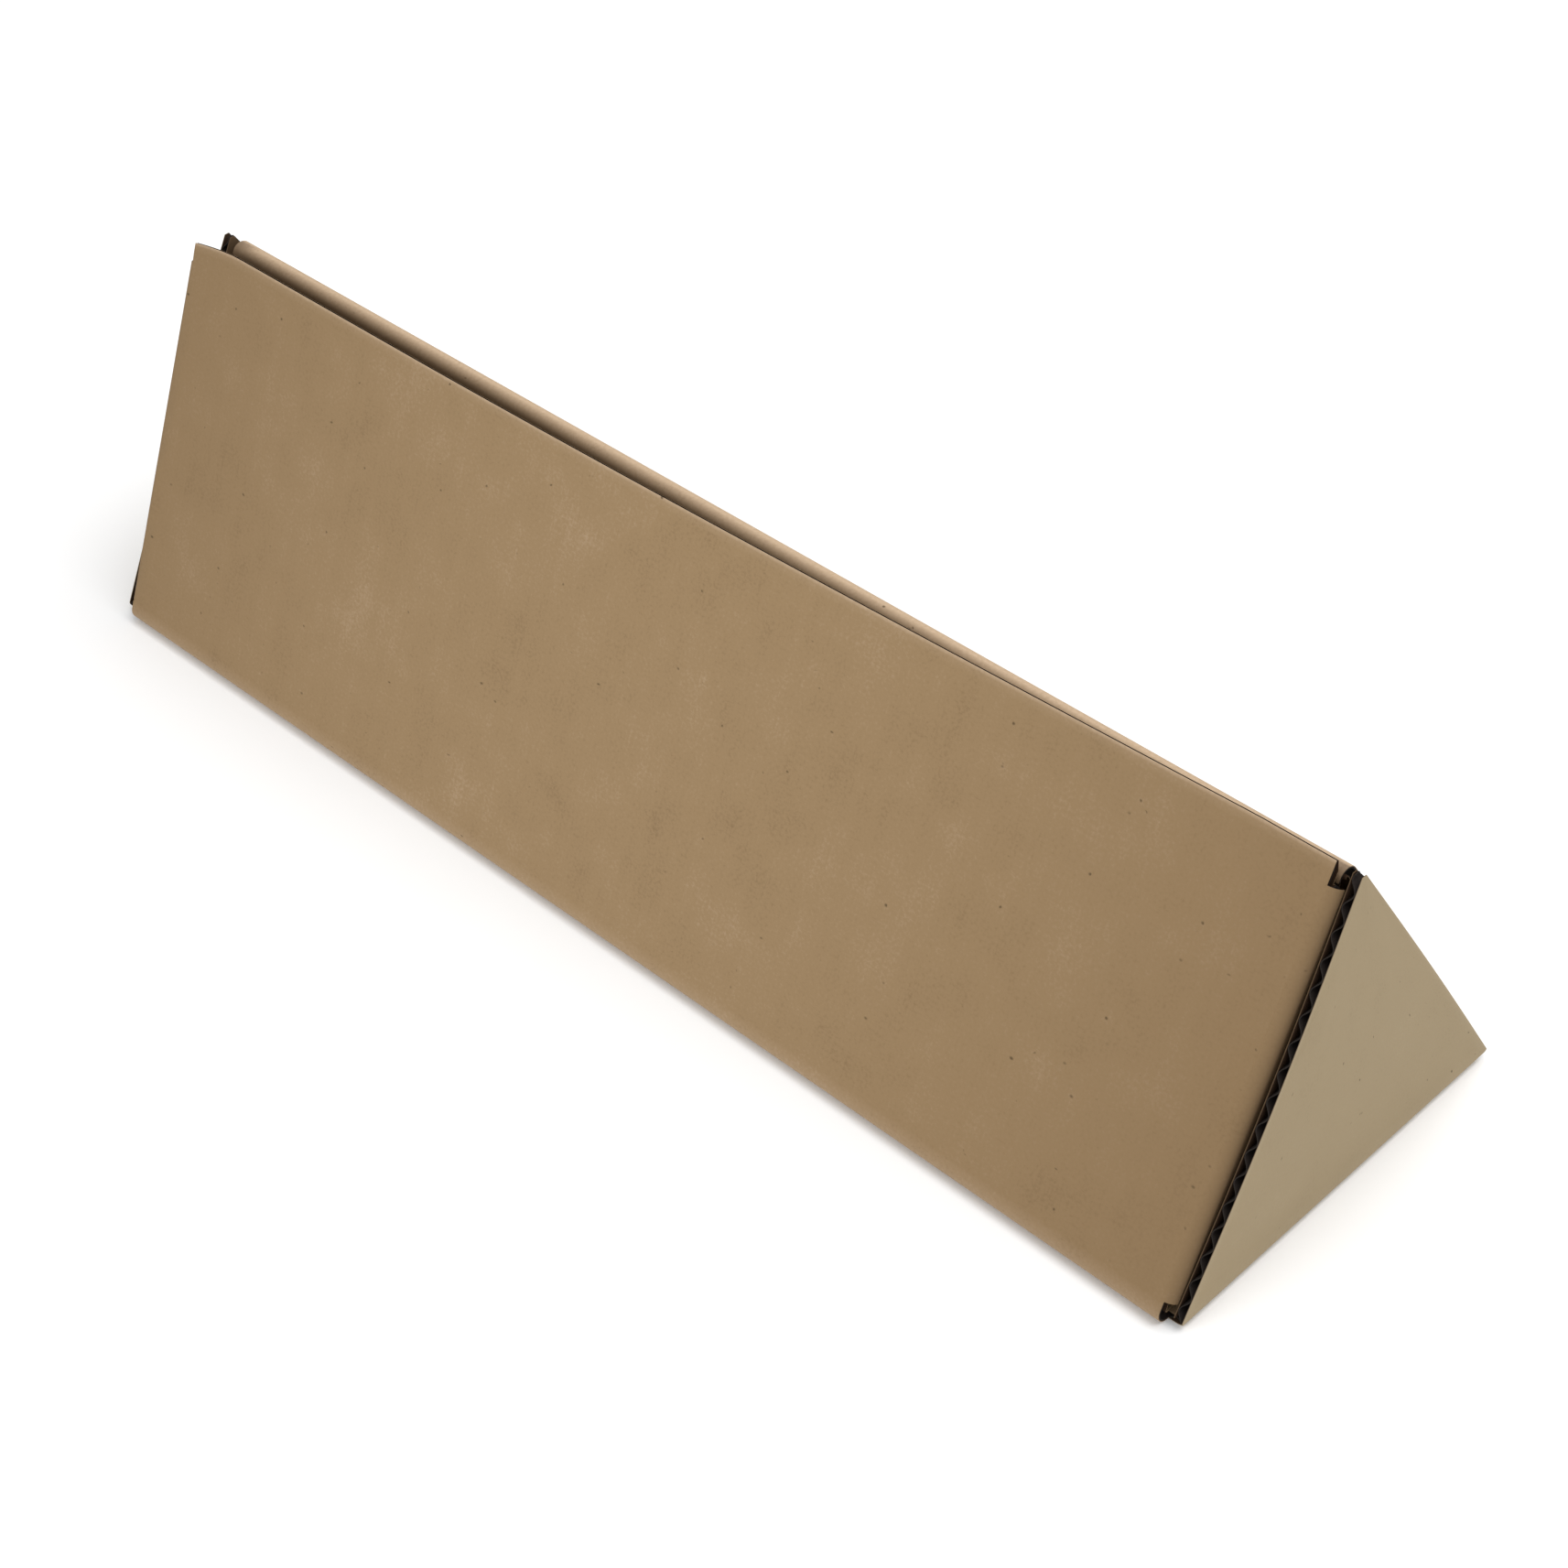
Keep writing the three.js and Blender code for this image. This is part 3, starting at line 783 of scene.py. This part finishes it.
def flap_fold(side):
    def fold(x, s, depth):
        past = x - CREASE_START
        angle = np.clip(past / BOARD, 0, math.pi / 2)
        beyond = np.clip(past - CREASE, 0, None)
        out = np.maximum(BOARD - depth, INNER_CREASE)
        bulge = FLAP_BOW * np.sin(math.pi * np.clip(beyond / FLAP_LENGTH, 0, 1))
        new_x = np.where(past > 0, CREASE_START + out * np.sin(angle) + bulge, x)
        z = np.where(past > 0, BOARD - out * np.cos(angle) + beyond, depth)
        rise = np.clip(z, 0, None)
        up = np.clip((past - CREASE * 0.5) / (CREASE * 0.5), 0, 1)
        near = HINGE_NEAR + (near_edge(rise) - HINGE_NEAR) * up
        far = HINGE_FAR + (far_edge(rise) - HINGE_FAR) * up
        crown = 1 - (2 * s - 1) ** 2
        new_x = new_x + CROWN_SHARE * bulge * (crown - CROWN_LEVEL)
        return side * new_x, near + (far - near) * s, z

    return fold


print("a flap is", round(FLAP_TIP - CREASE_START, 1), "mm long from the start of its crease")

# %% [markdown]
# The crease and the cut edges are rubbed pale. The inner liner's rim and tip get painted shade, as they lie close
# against the cover and the ridge.

# %% Wear and painted shade of an end flap
CREASE_RUB = 3.5
EDGE_SHARE = 0.012
EDGE_RUB = 0.7
# Painted shade on the inner liner's rim and tip: how wide, how dark, and where it starts and fades by the tip
RIM_SHARE = 0.03
RIM_PAINTED_SHADE = 0.75
TIP_REACH = 14
TIP_FADE = 8


def every_cell(x, s):
    return np.full(np.broadcast(x, s).shape, True)


def flap_wear(x, s):
    crease = np.clip(1 - np.abs(x - CREASE_START - CREASE / 2) / CREASE_RUB, 0, 1)
    edge = np.clip(1 - np.minimum(s, 1 - s) / EDGE_SHARE, 0, 1)
    return np.maximum(crease, edge * EDGE_RUB)


# Painted shade on the inner liner, along its rim and at its tip
def flap_painted_shade(x, s, depth):
    rim = np.clip(1 - np.minimum(s, 1 - s) / RIM_SHARE, 0, 1)
    tip = np.clip((x - FLAP_TIP + TIP_REACH) / TIP_FADE, 0, 1)
    return np.where(depth > BOARD - SLIVER, RIM_PAINTED_SHADE * np.maximum(rim, tip), 0)


print("the rim's gloom is", round(RIM_SHARE * (HINGE_FAR - HINGE_NEAR), 1), "mm wide at the fold")

# %% [markdown]
# A flap bends across its hinge: the base's side of the crease follows the wrap, and the rest follows the flap. So
# each of its sheets is blended from one body to the other across the crease. The left flap is the right one
# mirrored, and a mirrored mesh is inside out until its normals are flipped.

# %% End flaps
OVERLAP = 0.02
STEPS_PER_CREASE = 10
RIM_ROWS = [0, 0.008, RIM_SHARE]

crease_columns = [CREASE_START + CREASE * k / STEPS_PER_CREASE for k in range(STEPS_PER_CREASE + 1)]
flap_x = [PANEL_END + OVERLAP] + crease_columns + [FLAP_TIP]
flap_s = RIM_ROWS + [0.1 * k for k in range(1, 10)] + [1 - row for row in reversed(RIM_ROWS)]
flap_papers = (flap_paper_painted_light, inner_paper)
for side, body in ((1, "right"), (-1, "left")):
    fold = flap_fold(side)
    sheets = board(f"{body}_flap", flap_x, flap_s, every_cell, fold, flap_wear, flap_painted_shade, flap_papers, SIDE)
    for sheet in sheets:
        if side < 0:
            sheet.data.flip_normals()
        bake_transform(sheet)
        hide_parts(f"{body}_end_flap")

# %% [markdown]
# The tube lies on a plain white table, the same as in a product photograph. The table looks white to the camera, and
# still takes the tube's soft shadow. It lies a hair below the tube, so that the two never share a face.

# %% Floor
FLOOR_HALF = 3.0
FLOOR_DROP = 0.0002
TABLE_WHITE = (0.9, 0.9, 0.9, 1)
TABLE_ROUGHNESS = 0.9
TABLE_SHEEN = 0.1

floor_mesh = bpy.data.meshes.new("floor")
floor_corners = [(x * FLOOR_HALF, y * FLOOR_HALF, 0) for x, y in ((-1, -1), (1, -1), (1, 1), (-1, 1))]
floor_mesh.from_pydata(floor_corners, [], [(0, 1, 2, 3)])
floor = bpy.data.objects.new("floor", floor_mesh)
floor.location.z = -FLOOR_DROP
bpy.context.scene.collection.objects.link(floor)
floor_material = bpy.data.materials.new("white_table")
floor_material.use_nodes = True
floor_shader = floor_material.node_tree.nodes["Principled BSDF"]
floor_shader.inputs["Base Color"].default_value = TABLE_WHITE
floor_shader.inputs["Roughness"].default_value = TABLE_ROUGHNESS
floor_shader.inputs["Specular IOR Level"].default_value = TABLE_SHEEN
floor_mesh.materials.append(floor_material)
print("floor", 2 * FLOOR_HALF, "m wide")

# %% [markdown]
# The light is soft and comes from nearly all round, as in a light tent: a pale world, one wide lamp above and behind,
# and a weaker one in front. Small lamps would be simpler, but they would draw hard shadows, and a tent has none.

# %% Light and world
WORLD_STRENGTH = 0.62
TARGET = (0, 0, 0.05)

world = bpy.data.worlds.new("studio")
bpy.context.scene.world = world
world.use_nodes = True
world_background = world.node_tree.nodes["Background"]
world_background.inputs["Color"].default_value = (1, 1, 1, 1)
world_background.inputs["Strength"].default_value = WORLD_STRENGTH


def soft_light(name, place, size, power):
    """A square lamp that points its -Z at the tube."""
    data = bpy.data.lights.new(name, "AREA")
    data.shape = "SQUARE"
    data.size = size
    data.energy = power
    light = bpy.data.objects.new(name, data)
    light.location = place
    dx, dy, dz = np.array(TARGET) - np.array(place)
    tilt = math.atan2(math.hypot(dx, dy), -dz)
    light.rotation_euler = Euler((tilt, 0, math.atan2(dx, -dy) + math.pi), "XYZ")
    bpy.context.scene.collection.objects.link(light)
    print(name, "light", round(math.degrees(tilt)), "degrees off straight down")


soft_light("key", place=(0.5, 0.55, 1.6), size=1.7, power=27)
soft_light("fill", place=(-0.2, -1.5, 1.0), size=1.4, power=9)

# %% [markdown]
# The colours go to the picture as they are, so the view is Standard.

# %% Finish
bpy.context.scene.view_settings.view_transform = "Standard"
